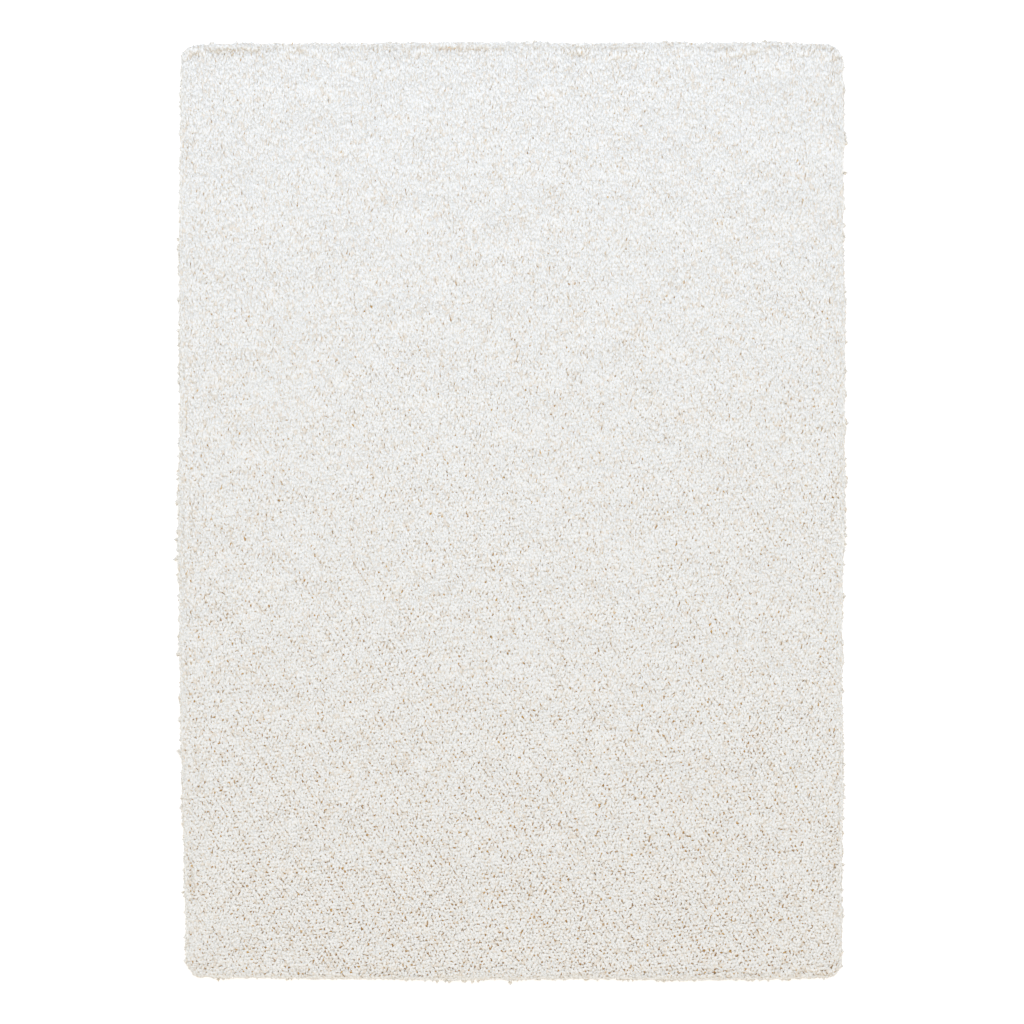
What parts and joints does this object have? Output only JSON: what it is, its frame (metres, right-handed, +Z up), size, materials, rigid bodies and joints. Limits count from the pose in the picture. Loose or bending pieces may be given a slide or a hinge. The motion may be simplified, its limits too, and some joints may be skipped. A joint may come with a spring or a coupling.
{
  "type": "shag rug",
  "caption": "Flat rectangular rug with rounded corners, a deep cut pile of thick cream yarn and loose yarn locks along its rim.",
  "frame": {"origin": "centre of the rug's underside, on the floor", "axes": "+Z up out of the pile, +Y along the length towards the end that the pile leans to, +X across the width"},
  "size_m": [1.236, 1.736, 0.034],
  "materials": {
    "shag_yarn": "cream, thick twisted yarn in a long cut pile, matt with a faint sheen"
  },
  "bodies": {
    "root": {"shag_rug": "shag_yarn"}
  },
  "joints": []
}
